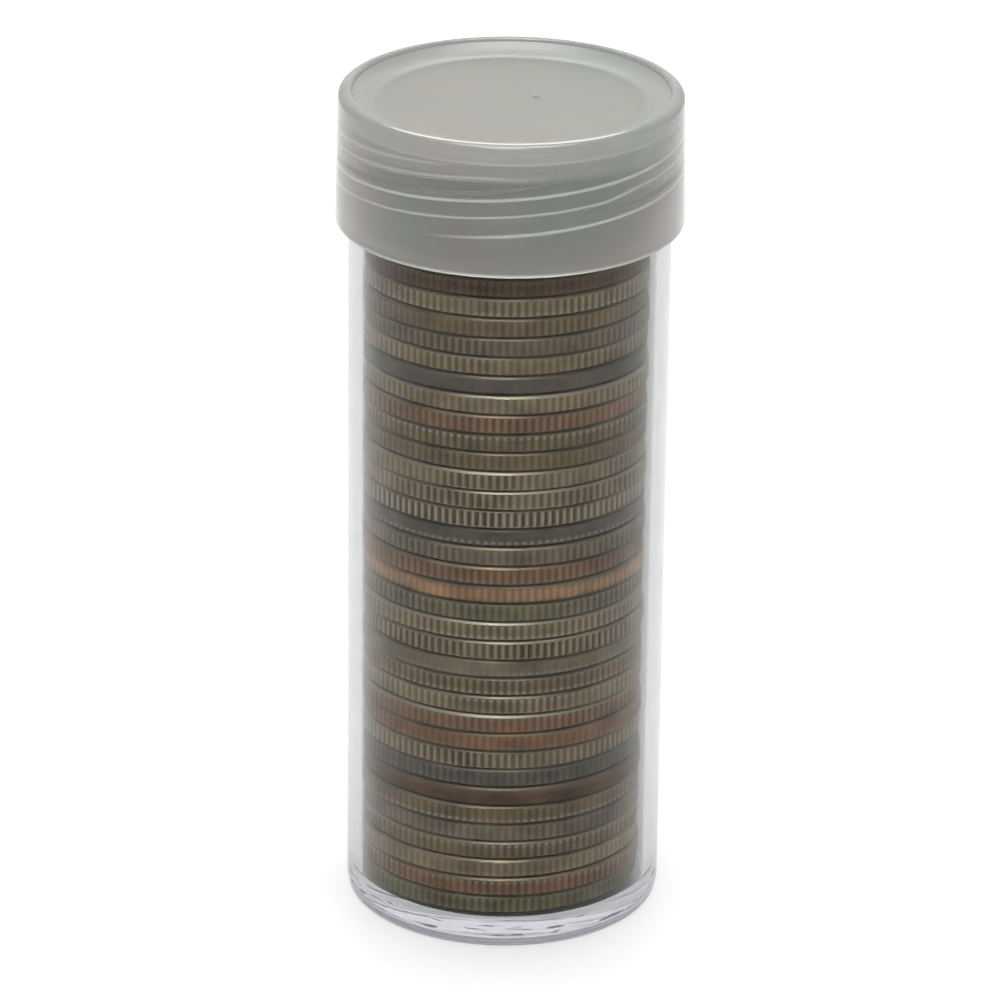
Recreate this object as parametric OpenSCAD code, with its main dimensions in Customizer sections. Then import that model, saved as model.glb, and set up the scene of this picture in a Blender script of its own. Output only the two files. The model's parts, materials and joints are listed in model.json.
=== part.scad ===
// Screw-top coin tube holding one full roll of reeded coins.
// Millimetres, +Z up. The origin is the centre of the face the tube stands on.
// The tube is one clear moulding: a foot ring, a straight wall, a thinner neck
// and a two-start thread. The cap is one frosted moulding whose inner thread
// lies in the grooves of the neck's, so turning it lifts it along the helix.
// Each coin is a solid of its own, loose in the bore.

/* [Coins] */

// Coins in a full tube
coin_count = 40; // [10:1:50]
// Diameter over the reeded edge
coin_d = 24.26; // [17.9:0.01:38.1]
// Height of one coin at its raised rim, a little worn
coin_t = 1.73; // [1.35:0.01:3]
// Width of the raised rim
coin_rim_w = 0.9; // [0.5:0.05:1.5]
// Depth of the field below the rim, on each face
coin_field_depth = 0.2; // [0.05:0.01:0.3]
// Rounding between the edge and each face
coin_edge_r = 0.14; // [0.05:0.01:0.3]

/* [Tube] */

// Radial play of a centred coin in the bore
bore_gap = 0.37; // [0.2:0.01:0.8]
// Wall of the tube
tube_wall = 1.27; // [1:0.01:2.5]
// Floor under the lowest coin
floor_t = 1.98; // [1:0.01:4]
// Height of the foot ring
foot_h = 0.95; // [0.6:0.05:2]
// Step in from the wall to the foot ring
foot_step = 0.16; // [0.05:0.01:0.4]
// Width of the foot ring's standing face
foot_w = 1.2; // [0.8:0.05:2.5]
// Hollow under the floor
foot_recess = 0.6; // [0.2:0.05:1.2]
// Space between the highest coin and the neck's mouth
head_gap = 0.22; // [0.1:0.01:2]

/* [Thread] */

// Wall of the neck between its threads
neck_wall = 0.75; // [0.6:0.01:1]
// Height of the neck from the shoulder to the mouth
neck_h = 9.85; // [9.3:0.05:14]
// Ridges side by side
thread_starts = 2; // [1:1:2]
// Rise of a ridge in one full turn
thread_lead = 6.3; // [6.2:0.1:7]
// Height of a ridge above the wall that carries it
thread_h = 0.55; // [0.4:0.01:0.7]
// Width of a ridge where it meets the wall
thread_base_w = 1.45; // [1.2:0.01:1.5]
// Width of a ridge along its crest
thread_crest_w = 0.85; // [0.6:0.01:1]
// Radial play from each crest to the wall it faces
thread_gap = 0.15; // [0.12:0.01:0.3]
// Play between the two flanks that hold the cap down
flank_gap = 0.1; // [0.05:0.01:0.2]

/* [Cap] */

// Wall of the skirt at its lower edge
cap_wall = 0.89; // [0.7:0.01:2]
// How far the skirt leans in on the outside, from edge to rim
cap_draft = 0.24; // [0:0.01:0.4]
// Space between the skirt's lower edge and the shoulder
skirt_gap = 0.15; // [0.05:0.05:0.5]
// Space between the neck's mouth and the cap's ceiling
seat_gap = 0.06; // [0.02:0.01:0.2]
// Thickness of the sunk top panel
panel_t = 0.7; // [0.5:0.05:2]
// Height of the rim above the panel
rim_rise = 1.1; // [0.6:0.05:2.5]
// Width of the rim at its top
rim_w = 1.2; // [1.15:0.05:2]
// Width of the slope from the rim down to the panel
dish_w = 2.05; // [0.8:0.05:4]
// Rounding of the skirt's lower outer edge
edge_r = 0.35; // [0.1:0.05:0.5]

/* [Hidden] */

// Coin stack. A coin rests on the one below, and each lies a little off the
// axis, as coins dropped into a tube do. The turn between neighbours' offsets
// is the golden angle, so no two lie the same way.
rest_gap = 0.02;
golden_turn = 137.5;
stack_lean_share = 0.55;
coin_wander_share = 0.3;
coin_r = coin_d / 2;
floor_z = foot_recess + floor_t;
stack_z = floor_z + rest_gap;
stack_top = stack_z + coin_count * coin_t;
rim_slope_share = 1.5;
coin_slope_w = coin_field_depth * rim_slope_share;

// Tube
bore_r = coin_r + bore_gap;
tube_r = bore_r + tube_wall;
foot_r = tube_r - foot_step;
foot_edge_r = 0.25;
mouth_z = stack_top + head_gap;
shoulder_z = mouth_z - neck_h;
neck_r = bore_r + neck_wall;
mouth_r = 0.18;
shoulder_r = 0.15;
recess_draft = 0.15;
tube_gate_d = 1.8;
tube_gate_h = 0.25;

// Thread. Angles are counted from the front, where the photographed side is.
front = -90;
thread_pitch = thread_lead / thread_starts;
thread_crest_r = neck_r + thread_h;
cap_bore_r = thread_crest_r + thread_gap;
cap_crest_r = cap_bore_r - thread_h;
flank_slope = (thread_base_w - thread_crest_w) / 2 / thread_h;
// The half widths of two facing ridges, added up at any one radius
flank_reach = (thread_base_w + thread_crest_w) / 2 - flank_slope * thread_gap;
thread_margin = 0.18;
thread_rest = 1.33;
thread_step = 10;
ridge_sink = 0.15;
run_out = 40;
neck_thread_clock = 40;
cap_thread_clock = 13;
ridge_end_share = 0.12;
tube_thread_from = shoulder_z + thread_base_w / 2 + thread_margin + thread_rest;
tube_thread_to = mouth_z - thread_base_w / 2 - thread_margin;
tube_thread_start = front - neck_thread_clock;
tube_thread_turn = (tube_thread_to - tube_thread_from) / thread_lead * 360 + run_out;
// The cap's ridges lie under the neck's at rest, with the flank play between
cap_thread_drop = flank_reach + flank_gap;
cap_thread_start = front + cap_thread_clock;
cap_thread_from = tube_thread_from - cap_thread_drop
    + thread_lead * (cap_thread_start - tube_thread_start) / 360 + thread_pitch * (thread_starts - 1);
cap_thread_turn = 190;

// Cap
ceiling_z = mouth_z + seat_gap;
panel_z = ceiling_z + panel_t;
cap_top = panel_z + rim_rise;
skirt_z = shoulder_z + skirt_gap;
cap_r = cap_bore_r + cap_wall;
cap_top_r = cap_r - cap_draft;
rim_outer_r = 0.55;
rim_inner_r = 0.35;
lead_in = 0.2;
ceiling_r = 0.3;
// The dish, as shares of its width inwards and of the rim's rise upwards
dish_shares = [[0.3, 0.28], [0.65, 0.08], [1, 0]];
gate_d = 0.7;
gate_h = 0.12;
gate_at = [2.1, 1.3];

arc_steps = 4;
$fn = 96;

// Pieces in the order they are put together

function coin_name(i) = str("coin_", i < 10 ? "0" : "", i);

// Points on a quarter or other arc from angle a0 to a1 about a centre
function arc(centre, r, a0, a1) = [for (k = [0:arc_steps])
    let (a = a0 + (a1 - a0) * k / arc_steps) centre + r * [cos(a), sin(a)]];

// Where a coin's centre lies: the stack leans to one side, each coin wanders
function coin_place(i) = [
    -bore_gap * (stack_lean_share + coin_wander_share * sin(golden_turn * i)),
    bore_gap * coin_wander_share * cos(golden_turn * i * 2),
    stack_z + (i - 1) * coin_t];

// Share of its full height a ridge has at angle a of its whole turn
function ridge_share(a, turn) =
    ridge_end_share + (1 - ridge_end_share) * min(1, a / run_out, (turn - a) / run_out);

// Section of a ridge: a trapezium from inside the wall to its crest, listed
// from the smaller radius so that it turns the same way inside and outside
function ridge_section(wall_r, crest_r, share) =
    let (out = crest_r > wall_r ? 1 : -1,
         root = [wall_r - out * ridge_sink, (thread_base_w / 2 + ridge_sink * flank_slope) * share],
         crest = [wall_r + (crest_r - wall_r) * share, thread_crest_w / 2 * share],
         near = out > 0 ? root : crest,
         far = out > 0 ? crest : root)
    [[near[0], -near[1]], [far[0], -far[1]], [far[0], far[1]], [near[0], near[1]]];

// Every start's helical ridge, swept along its section
module thread(wall_r, crest_r, from_z, start, turn) {
    steps = ceil(turn / thread_step);
    sides = 4;
    for (s = [0:thread_starts - 1]) {
        points = [for (j = [0:steps])
            let (a = turn * j / steps, section = ridge_section(wall_r, crest_r, ridge_share(a, turn)))
            for (p = section)
                let (at = start + a - s * 360 / thread_starts)
                [p[0] * cos(at), p[0] * sin(at), from_z + thread_lead * a / 360 + p[1]]];
        faces = concat(
            [[for (i = [sides - 1:-1:0]) i]],
            [for (j = [0:steps - 1]) for (i = [0:sides - 1])
                let (n = (i + 1) % sides, low = j * sides, high = low + sides)
                each [[low + i, low + n, high + n], [low + i, high + n, high + i]]],
            [[for (i = [0:sides - 1]) steps * sides + i]]);
        polyhedron(points = points, faces = faces, convexity = 6);
    }
}

// Foot ring, wall, shoulder, neck and mouth as one revolved profile
module tube_shell() {
    recess_r = foot_r - foot_w;
    rotate_extrude()
        polygon(concat(
            [[0, foot_recess], [recess_r - recess_draft, foot_recess], [recess_r, 0]],
            arc([foot_r - foot_edge_r, foot_edge_r], foot_edge_r, -90, 0),
            [[foot_r, foot_h - foot_step], [tube_r, foot_h]],
            arc([tube_r - shoulder_r, shoulder_z - shoulder_r], shoulder_r, 0, 90),
            [[neck_r, shoulder_z]],
            arc([neck_r - mouth_r, mouth_z - mouth_r], mouth_r, 0, 90),
            arc([bore_r + mouth_r, mouth_z - mouth_r], mouth_r, 90, 180),
            [[bore_r, floor_z], [0, floor_z]]));
}

module tube() {
    color([0.86, 0.9, 0.92, 0.35]) union() {
        tube_shell();
        thread(neck_r, thread_crest_r, tube_thread_from, tube_thread_start, tube_thread_turn);
        // Sprue mark left in the hollow of the base
        translate([0, 0, foot_recess - tube_gate_h])
            cylinder(d = tube_gate_d, h = tube_gate_h * 2);
    }
}

// Skirt, rim, sloped dish and sunk panel as one revolved profile
module cap_shell() {
    rim_in_r = cap_top_r - rim_w;
    rotate_extrude()
        polygon(concat(
            [[cap_bore_r + lead_in, skirt_z]],
            arc([cap_r - edge_r, skirt_z + edge_r], edge_r, -90, 0),
            arc([cap_top_r - rim_outer_r, cap_top - rim_outer_r], rim_outer_r, 0, 90),
            arc([rim_in_r + rim_inner_r, cap_top - rim_inner_r], rim_inner_r, 90, 180),
            [for (share = dish_shares)
                [rim_in_r - dish_w * share[0], panel_z + rim_rise * share[1]]],
            [[0, panel_z], [0, ceiling_z]],
            arc([cap_bore_r - ceiling_r, ceiling_z - ceiling_r], ceiling_r, 90, 0),
            [[cap_bore_r, skirt_z + lead_in]]));
}

module cap() {
    color([0.74, 0.76, 0.73, 0.7]) union() {
        cap_shell();
        thread(cap_bore_r, cap_crest_r, cap_thread_from, cap_thread_start, cap_thread_turn);
        // Gate mark, a little off the middle of the panel
        translate([gate_at[0], gate_at[1], panel_z - gate_h])
            cylinder(d = gate_d, h = gate_h * 2);
    }
}

// One coin: rounded edge, raised rim and a sunk field on both faces
module coin(i) {
    field_r = coin_r - coin_rim_w - coin_slope_w;
    color([0.44, 0.41, 0.36]) translate(coin_place(i))
        rotate_extrude()
            polygon(concat(
                [[0, coin_field_depth], [field_r, coin_field_depth], [coin_r - coin_rim_w, 0]],
                arc([coin_r - coin_edge_r, coin_edge_r], coin_edge_r, -90, 0),
                arc([coin_r - coin_edge_r, coin_t - coin_edge_r], coin_edge_r, 0, 90),
                [[coin_r - coin_rim_w, coin_t], [field_r, coin_t - coin_field_depth],
                 [0, coin_t - coin_field_depth]]));
}

tube();
for (i = [1:coin_count]) coin(i);
cap();
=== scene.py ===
"""Screw-top coin tube: a clear moulded tube, a frosted screw cap and a full roll of reeded coins.

Laid out as an add-on with one operator for the tube, one for the coins, one for the cap and
one for the stage. Everything is in metres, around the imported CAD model, whose nodes the dressed
pieces replace. Rows of (radius, height) points are written in millimetres and scaled once.
"""

import json
import math
import random

import bmesh
import bpy
from bpy.props import (BoolProperty, FloatProperty, FloatVectorProperty, IntProperty,
                       PointerProperty)
from mathutils import Matrix, Vector


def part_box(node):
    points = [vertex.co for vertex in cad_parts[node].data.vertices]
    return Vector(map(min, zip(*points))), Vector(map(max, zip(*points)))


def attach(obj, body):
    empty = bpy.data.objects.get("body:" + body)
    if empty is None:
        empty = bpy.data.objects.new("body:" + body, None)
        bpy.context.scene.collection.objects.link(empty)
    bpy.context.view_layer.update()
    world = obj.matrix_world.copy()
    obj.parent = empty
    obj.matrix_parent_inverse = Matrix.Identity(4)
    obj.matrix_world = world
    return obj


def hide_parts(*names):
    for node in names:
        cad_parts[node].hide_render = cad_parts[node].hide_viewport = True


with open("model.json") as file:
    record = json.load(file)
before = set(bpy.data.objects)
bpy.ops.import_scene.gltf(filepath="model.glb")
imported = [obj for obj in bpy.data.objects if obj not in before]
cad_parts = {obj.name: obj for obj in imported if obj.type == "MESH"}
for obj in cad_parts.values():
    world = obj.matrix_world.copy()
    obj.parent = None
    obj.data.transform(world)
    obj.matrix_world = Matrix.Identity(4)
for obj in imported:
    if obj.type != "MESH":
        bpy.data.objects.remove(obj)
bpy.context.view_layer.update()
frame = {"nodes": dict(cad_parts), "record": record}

bl_info = {
    "name": "Screw-top coin tube",
    "version": (1, 0, 0),
    "blender": (4, 5, 0),
    "location": "3D View > Sidebar > Coin Tube",
    "description": "Builds a clear coin tube with its screw cap, its roll of coins and a studio",
    "category": "Object",
}

MM = 0.001
FRONT = math.radians(-90)          # the photographed side looks along +Y
COLUMNS = 288                      # points round a moulding
WELD = 2e-7                        # joins seams, poles and the ends of ridges
FILLET_STEPS = 6
HOLD = 0.1 * MM                    # rows this near an edge keep long faces truly straight
SHARP = math.radians(32)           # flatter edges than this are shaded smooth
UNSEEN_TURN = 1.9                  # radians at its lower end where a painted highlight line doesn't show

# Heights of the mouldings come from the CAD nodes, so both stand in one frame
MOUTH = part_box("tube")[1][2]
CAP_LOW, CAP_HIGH = [corner[2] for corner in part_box("cap")]
COIN_NAMES = sorted(name for name in frame["nodes"] if name.startswith("coin_"))


# ---------------------------------------------------------------- settings

class TubeSettings(bpy.types.PropertyGroup):
    bore_r: FloatProperty(name="Bore radius", description="Inside of the tube",
                          default=12.5 * MM, unit="LENGTH")
    wall: FloatProperty(name="Wall", description="Thickness of the tube below the neck",
                        default=1.265 * MM, unit="LENGTH")
    floor: FloatProperty(name="Floor", description="Thickness under the lowest coin",
                         default=1.98 * MM, unit="LENGTH")
    recess: FloatProperty(name="Foot recess", description="Hollow under the floor",
                          default=0.6 * MM, unit="LENGTH")
    foot_h: FloatProperty(name="Foot height", description="Height of the foot ring",
                          default=0.95 * MM, unit="LENGTH")
    foot_step: FloatProperty(name="Foot step", description="From the wall in to the foot ring",
                             default=0.16 * MM, unit="LENGTH")
    foot_w: FloatProperty(name="Foot width", description="Standing face of the foot ring",
                          default=1.2 * MM, unit="LENGTH")
    neck_wall: FloatProperty(name="Neck wall", description="Neck between its ridges",
                             default=0.75 * MM, unit="LENGTH")
    neck_h: FloatProperty(name="Neck height", description="From the shoulder to the mouth",
                          default=9.85 * MM, unit="LENGTH")
    tint: FloatVectorProperty(name="Tint", description="Colour of the clear plastic, sRGB",
                              subtype="COLOR_GAMMA", default=(0.735, 0.74, 0.738))


class ThreadSettings(bpy.types.PropertyGroup):
    starts: IntProperty(name="Starts", description="Ridges side by side", default=2)
    lead: FloatProperty(name="Lead", description="Rise of a ridge in one turn",
                        default=6.3 * MM, unit="LENGTH")
    height: FloatProperty(name="Height", description="Ridge above its wall",
                          default=0.55 * MM, unit="LENGTH")
    base_w: FloatProperty(name="Root width", description="Ridge where it meets its wall",
                          default=1.45 * MM, unit="LENGTH")
    crest_w: FloatProperty(name="Crest width", description="Ridge along its top",
                           default=0.85 * MM, unit="LENGTH")
    gap: FloatProperty(name="Crest play", description="From a crest to the wall it faces",
                       default=0.15 * MM, unit="LENGTH")
    flank_gap: FloatProperty(name="Flank play", description="Between the pressed flanks",
                             default=0.1 * MM, unit="LENGTH")
    run_out: FloatProperty(name="Run-out", description="Turn over which a ridge fades",
                           default=math.radians(40), subtype="ANGLE")


class CapSettings(bpy.types.PropertyGroup):
    wall: FloatProperty(name="Wall", description="Skirt at its lower edge",
                        default=0.885 * MM, unit="LENGTH")
    draft: FloatProperty(name="Draft", description="How far the skirt leans in",
                         default=0.24 * MM, unit="LENGTH")
    panel: FloatProperty(name="Panel", description="Thickness of the sunk top",
                         default=0.7 * MM, unit="LENGTH")
    rim_rise: FloatProperty(name="Rim rise", description="Rim above the panel",
                            default=1.1 * MM, unit="LENGTH")
    rim_w: FloatProperty(name="Rim width", description="Rim along its top",
                         default=1.2 * MM, unit="LENGTH")
    dish_w: FloatProperty(name="Dish width", description="Slope from the rim to the panel",
                          default=2.05 * MM, unit="LENGTH")
    tint: FloatVectorProperty(name="Tint", description="Colour of the frosted plastic, sRGB",
                              subtype="COLOR_GAMMA", default=(0.822, 0.829, 0.812))


class CoinSettings(bpy.types.PropertyGroup):
    reeds: IntProperty(name="Reeds", description="Reeds round the edge", default=119)
    reed_depth: FloatProperty(name="Reed depth", description="Groove between two reeds, unworn",
                              default=0.15 * MM, unit="LENGTH")
    rim_w: FloatProperty(name="Rim width", description="Raised rim of each face",
                         default=0.9 * MM, unit="LENGTH")
    field: FloatProperty(name="Field depth", description="Field below the rim",
                         default=0.2 * MM, unit="LENGTH")
    edge_r: FloatProperty(name="Edge bevel", description="Between the edge and a face",
                          default=0.17 * MM, unit="LENGTH")
    beads: IntProperty(name="Beads", description="Beads inside the rim", default=72)
    wear: BoolProperty(name="Worn reeds", description="Give each coin its own wear",
                       default=True)


class StageSettings(bpy.types.PropertyGroup):
    floor: FloatVectorProperty(name="Floor", description="Colour of the floor, sRGB",
                               subtype="COLOR_GAMMA", default=(0.965, 0.965, 0.965))
    sky: FloatProperty(name="Sky", description="Strength of the even light overhead",
                       default=0.385)
    horizon: FloatProperty(name="Horizon", description="Strength of the light from all sides",
                           default=0.9)
    key: FloatProperty(name="Key", description="Power of the overhead softbox, watts",
                       default=5.3)
    front: FloatProperty(name="Front", description="Power of the softbox over the camera, watts",
                         default=1.3)
    rim: FloatProperty(name="Rim", description="Power of the softbox behind, watts",
                       default=0.37)


# ---------------------------------------------------------------- small tools

def linear(colour):
    """sRGB, as a hex string or three shares, to linear light."""
    if isinstance(colour, str):
        colour = [int(colour[i:i + 2], 16) / 255 for i in (1, 3, 5)]
    return [c / 12.92 if c <= 0.04045 else ((c + 0.055) / 1.055) ** 2.4 for c in colour] + [1.0]


def add(tree, kind, inputs=None, **settings):
    """A node with its settings, its values and its links. A node among the values stands for
    its first output."""
    node = tree.nodes.new(kind)
    for name, value in settings.items():
        setattr(node, name, value)
    for key, value in (inputs or {}).items():
        if isinstance(value, bpy.types.Node):
            value = value.outputs[0]
        if isinstance(value, bpy.types.NodeSocket):
            tree.links.new(value, node.inputs[key])
        else:
            node.inputs[key].default_value = value
    return node


def blank_material(name):
    """A material and its tree, emptied."""
    material = bpy.data.materials.new(name)
    material.use_nodes = True
    material.node_tree.nodes.clear()
    return material, material.node_tree


def arc(centre, radius, start, end):
    """Points on an arc in a revolved section, angles in degrees."""
    turns = [math.radians(start + (end - start) * k / FILLET_STEPS)
             for k in range(FILLET_STEPS + 1)]
    return [(centre[0] + radius * math.cos(a), centre[1] + radius * math.sin(a)) for a in turns]


def finish(piece, material, body, slot, *nodes):
    """Smooth shading, material, body and hidden CAD nodes of one piece."""
    mesh = piece.data
    mesh.materials.clear()
    mesh.materials.append(material)
    mesh.shade_smooth()
    mesh.set_sharp_from_angle(angle=SHARP)
    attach(piece, body)
    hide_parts(*nodes)


def new_piece(name, mesh):
    piece = bpy.data.objects.new(name, mesh)
    bpy.context.scene.collection.objects.link(piece)
    return piece


def held(strip):
    """The strip with a row near both ends of each long straight stretch."""
    rows = []
    for row in strip:
        if rows and isinstance(row, tuple) and isinstance(rows[-1], tuple):
            (r0, z0), (r1, z1) = rows[-1], row
            length = math.hypot(r1 - r0, z1 - z0)
            if length > 6 * HOLD:
                for share in (HOLD / length, 1 - HOLD / length):
                    rows.append((r0 + (r1 - r0) * share, z0 + (z1 - z0) * share))
        rows.append(row)
    return rows


def turned_shell(name, strips):
    """A closed moulding from strips round Z, each with its roughness, its clearness and its
    rows. A row is one (radius, height) in metres, or a list of (radius, height, how strongly
    the face above it is painted white as a painted highlight, below 0 how much painted shade
    it takes), one for each column."""
    build = bmesh.new()
    rough, clear, marks_and_painted_light = [build.faces.layers.float.new(key)
                            for key in ("roughness", "clearness", "marks_and_painted_light")]
    turns = [2 * math.pi * c / COLUMNS for c in range(COLUMNS + 1)]
    for roughness, clearness, strip in strips:
        before = None
        for row in held(strip):
            points = row if isinstance(row, list) else [(*row, 0.0)] * (COLUMNS + 1)
            line = [build.verts.new((r * math.cos(a), r * math.sin(a), z))
                    for a, (r, z, _) in zip(turns, points)]
            if before:
                for c in range(COLUMNS):
                    face = build.faces.new((before[c], before[c + 1], line[c + 1], line[c]))
                    face[rough], face[clear] = roughness, clearness
                    face[marks_and_painted_light] = min(last[c], points[c], key=lambda point: point[1])[2]
            before, last = line, points
    bmesh.ops.remove_doubles(build, verts=build.verts, dist=WELD)
    loose = [v for v in build.verts if not v.link_faces]
    bmesh.ops.delete(build, geom=loose, context="VERTS")
    bmesh.ops.recalc_face_normals(build, faces=build.faces)
    mesh = bpy.data.meshes.new(name)
    build.to_mesh(mesh)
    build.free()
    return mesh


# ---------------------------------------------------------------- thread

def ridge_share(a, turn, run_out):
    """Share of its full size a ridge has at angle a of its whole turn."""
    share = max(0.0, min(1.0, a / run_out, (turn - a) / run_out))
    return share * share * (3 - 2 * share)


def thread_lines(low, high, wall_r, out, own, other, other_up):
    """Rows of a wall that carries helical ridges, from low to high. out is 1 for ridges that
    stand out of a neck and -1 for ridges inside a cap; own and other are the two threads as
    (height, angle, turn), and other_up is how far the other's ridges lie above these. The rows
    run along the ridges, so their edges stay crisp, and rows that would leave the wall lie
    folded on its end. The lower flanks of the cap's ridges take painted shade, and two fine
    lines on the cap's wall, one by the cap's ridges and one by the neck's, are painted white
    as painted highlights."""
    size = bpy.context.scene.coin_tube_thread
    from_z, start, turn = own
    ahead = (from_z + other_up - other[0]) * 2 * math.pi / size.lead
    # Width, share of the height, and how strongly the face above is painted: above 0 painted
    # highlight, below 0 painted shade
    section = [(-size.base_w, 0, min(0, out)), (-size.crest_w, 1, 0), (size.crest_w, 1, 0),
               (size.base_w, 0, 0)]
    # Height over the ridge's middle, how strongly the face above is painted white as a painted
    # highlight, and whether it must keep off the cap's ridge
    lines = [] if out > 0 else [
        (0.38 * MM, 0.75, True), (0.6 * MM, 0, True),
        (other_up + 0.66 * MM, 0.9, False), (other_up + 0.93 * MM, 0, False)]
    rows = []
    # Whole turns, from well below the wall to well above it
    for k in range(-3, 5):
        for s in range(size.starts):
            first = start - s * 2 * math.pi / size.starts
            turns = [2 * math.pi * (c / COLUMNS + k) - first for c in range(COLUMNS + 1)]
            for width, share_up, wear_and_painted_light in section:
                row = []
                for a in turns:
                    share = ridge_share(a, turn, size.run_out)
                    z = from_z + size.lead * a / (2 * math.pi) + width / 2 * share
                    r = wall_r + out * size.height * share * share_up * (low < z < high)
                    row.append((r, min(max(z, low), high), wear_and_painted_light))
                rows.append((k * size.starts + s, row))
            for up, wear_and_painted_light, keeps_off in lines:
                late = UNSEEN_TURN * keeps_off
                row = []
                for a in turns:
                    root = size.base_w / 2 * ridge_share(a, turn, size.run_out) + 0.01 * MM
                    lift = max(0, root - lines[0][0]) * keeps_off
                    z = from_z + size.lead * a / (2 * math.pi) + up + lift
                    share = ridge_share(a + ahead - late, other[2] - late, size.run_out)
                    row.append((wall_r, min(max(z, low), high), wear_and_painted_light * share))
                rows.append((k * size.starts + s, row))
    rows.sort(key=lambda line: line[0])
    return [row for _, row in rows]


def thread_places():
    """Where both threads start, how high and how far they turn, as (height, angle, turn), and
    how far the cap's ridges lie below the neck's."""
    tube, size = bpy.context.scene.coin_tube_tube, bpy.context.scene.coin_tube_thread
    shoulder = MOUTH - tube.neck_h
    margin, rest = 0.18 * MM, 1.33 * MM
    from_z = shoulder + size.base_w / 2 + margin + rest
    to_z = MOUTH - size.base_w / 2 - margin
    neck_start, cap_start = FRONT - math.radians(40), FRONT + math.radians(13)
    cap_turn = math.radians(190)
    neck_turn = (to_z - from_z) / size.lead * 2 * math.pi + size.run_out
    slope = (size.base_w - size.crest_w) / 2 / size.height
    drop = (size.base_w + size.crest_w) / 2 - slope * size.gap + size.flank_gap
    cap_z = (from_z - drop + size.lead * (cap_start - neck_start) / (2 * math.pi)
             + size.lead / size.starts * (size.starts - 1))
    return (from_z, neck_start, neck_turn), (cap_z, cap_start, cap_turn), drop


# ---------------------------------------------------------------- materials
# A mix of colours takes them at its inputs 6 and 7 and gives its result at its output 2

def radius_and_height(tree, place):
    """How far a point lies from Z and how high it lies."""
    parts = add(tree, "ShaderNodeSeparateXYZ", {0: place}).outputs
    flat = add(tree, "ShaderNodeCombineXYZ", {0: parts[0], 1: parts[1]})
    radius = add(tree, "ShaderNodeVectorMath", {0: flat}, operation="LENGTH")
    return radius.outputs[1], parts[2]


def let_lamps_through(tree, shader, colour):
    """Put out the shader, and let the lamps still reach what lies behind."""
    passing = add(tree, "ShaderNodeBsdfTransparent", {"Color": linear(colour)})
    shadow = add(tree, "ShaderNodeLightPath").outputs["Is Shadow Ray"]
    both = add(tree, "ShaderNodeMixShader", {0: shadow, 1: shader, 2: passing})
    add(tree, "ShaderNodeOutputMaterial", {"Surface": both})


def clear_styrene(tint):
    """General-purpose polystyrene, injection moulded against polished steel. It gives the eye
    bright see-through bands at the sides, dark thin edges and a little ripple from the flow."""
    material, tree = blank_material("clear_polystyrene")
    place = add(tree, "ShaderNodeTexCoord").outputs["Object"]
    # Flow marks run round the tube: 9 mm apart round it and 1.6 mm apart up it
    flow = add(tree, "ShaderNodeMapping", {"Vector": place, "Scale": (110, 110, 600)})
    ripple = add(tree, "ShaderNodeTexNoise", {"Vector": flow, "Scale": 1.0, "Detail": 3.0})
    bump = add(tree, "ShaderNodeBump", {"Height": ripple, "Distance": 0.02 * MM, "Strength": 0.35})
    # Scuffs just above the foot, about 3 mm long and 0.3 mm high
    radius, height = radius_and_height(tree, place)
    scuffs_and_foot_shade = add(tree, "ShaderNodeMapping", {"Vector": place, "Scale": (380, 380, 3300)})
    scuffs_and_foot_shade = add(tree, "ShaderNodeTexNoise", {"Vector": scuffs_and_foot_shade, "Scale": 1.0, "Detail": 1.0})
    scuffs_and_foot_shade = add(tree, "ShaderNodeMapRange", {"Value": scuffs_and_foot_shade, "From Min": 0.59, "From Max": 0.68})
    for edge, inside in ((1.0, 1.1), (2.5, 2.2)):
        zone = add(tree, "ShaderNodeMapRange", {"Value": height, "From Min": edge * MM,
                                                "From Max": inside * MM})
        scuffs_and_foot_shade = add(tree, "ShaderNodeMath", {0: scuffs_and_foot_shade, 1: zone}, operation="MULTIPLY")
    # Handling has dulled the outside of the foot ring, and its grey there is painted shade
    outside = add(tree, "ShaderNodeMath", {0: radius, 1: 13.5 * MM}, operation="GREATER_THAN")
    dull_and_shaded = add(tree, "ShaderNodeMapRange", {"Value": height, "From Min": 0.9 * MM,
                                            "From Max": 0.8 * MM, "To Max": 0.4})
    dull_and_shaded = add(tree, "ShaderNodeMath", {0: dull_and_shaded, 1: outside}, operation="MULTIPLY")
    scuffs_and_foot_shade = add(tree, "ShaderNodeMath", {0: scuffs_and_foot_shade, 1: dull_and_shaded}, operation="MAXIMUM")
    # The thick floor is given a paler tint than the wall, painted light: a lit copy of the same
    # plastic
    thick = add(tree, "ShaderNodeMapRange", {"Value": height, "From Min": 2.6 * MM,
                                             "From Max": 2.3 * MM})
    tone = add(tree, "ShaderNodeMix", {"Factor": thick, 6: linear(tint), 7: linear("#E0E0E6")},
               data_type="RGBA")
    # Scuffs, and the foot ring's painted shade, turn the colour grey
    colour = add(tree, "ShaderNodeMix", {"Factor": scuffs_and_foot_shade, 6: tone.outputs[2], 7: linear("#7E7C82")},
                 data_type="RGBA")
    clear = add(tree, "ShaderNodeMapRange", {"Value": scuffs_and_foot_shade, "To Min": 1.0, "To Max": 0.4})
    rough = add(tree, "ShaderNodeMapRange", {"Value": scuffs_and_foot_shade, "To Min": 0.025, "To Max": 0.5})
    glass = add(tree, "ShaderNodeBsdfPrincipled", {
        "Base Color": colour.outputs[2], "Roughness": rough, "IOR": 1.56,
        "Specular Tint": (0.22, 0.22, 0.22, 1), "Transmission Weight": clear,
        "Normal": bump})
    let_lamps_through(tree, glass, "#F2F5F6")
    return material


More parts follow.
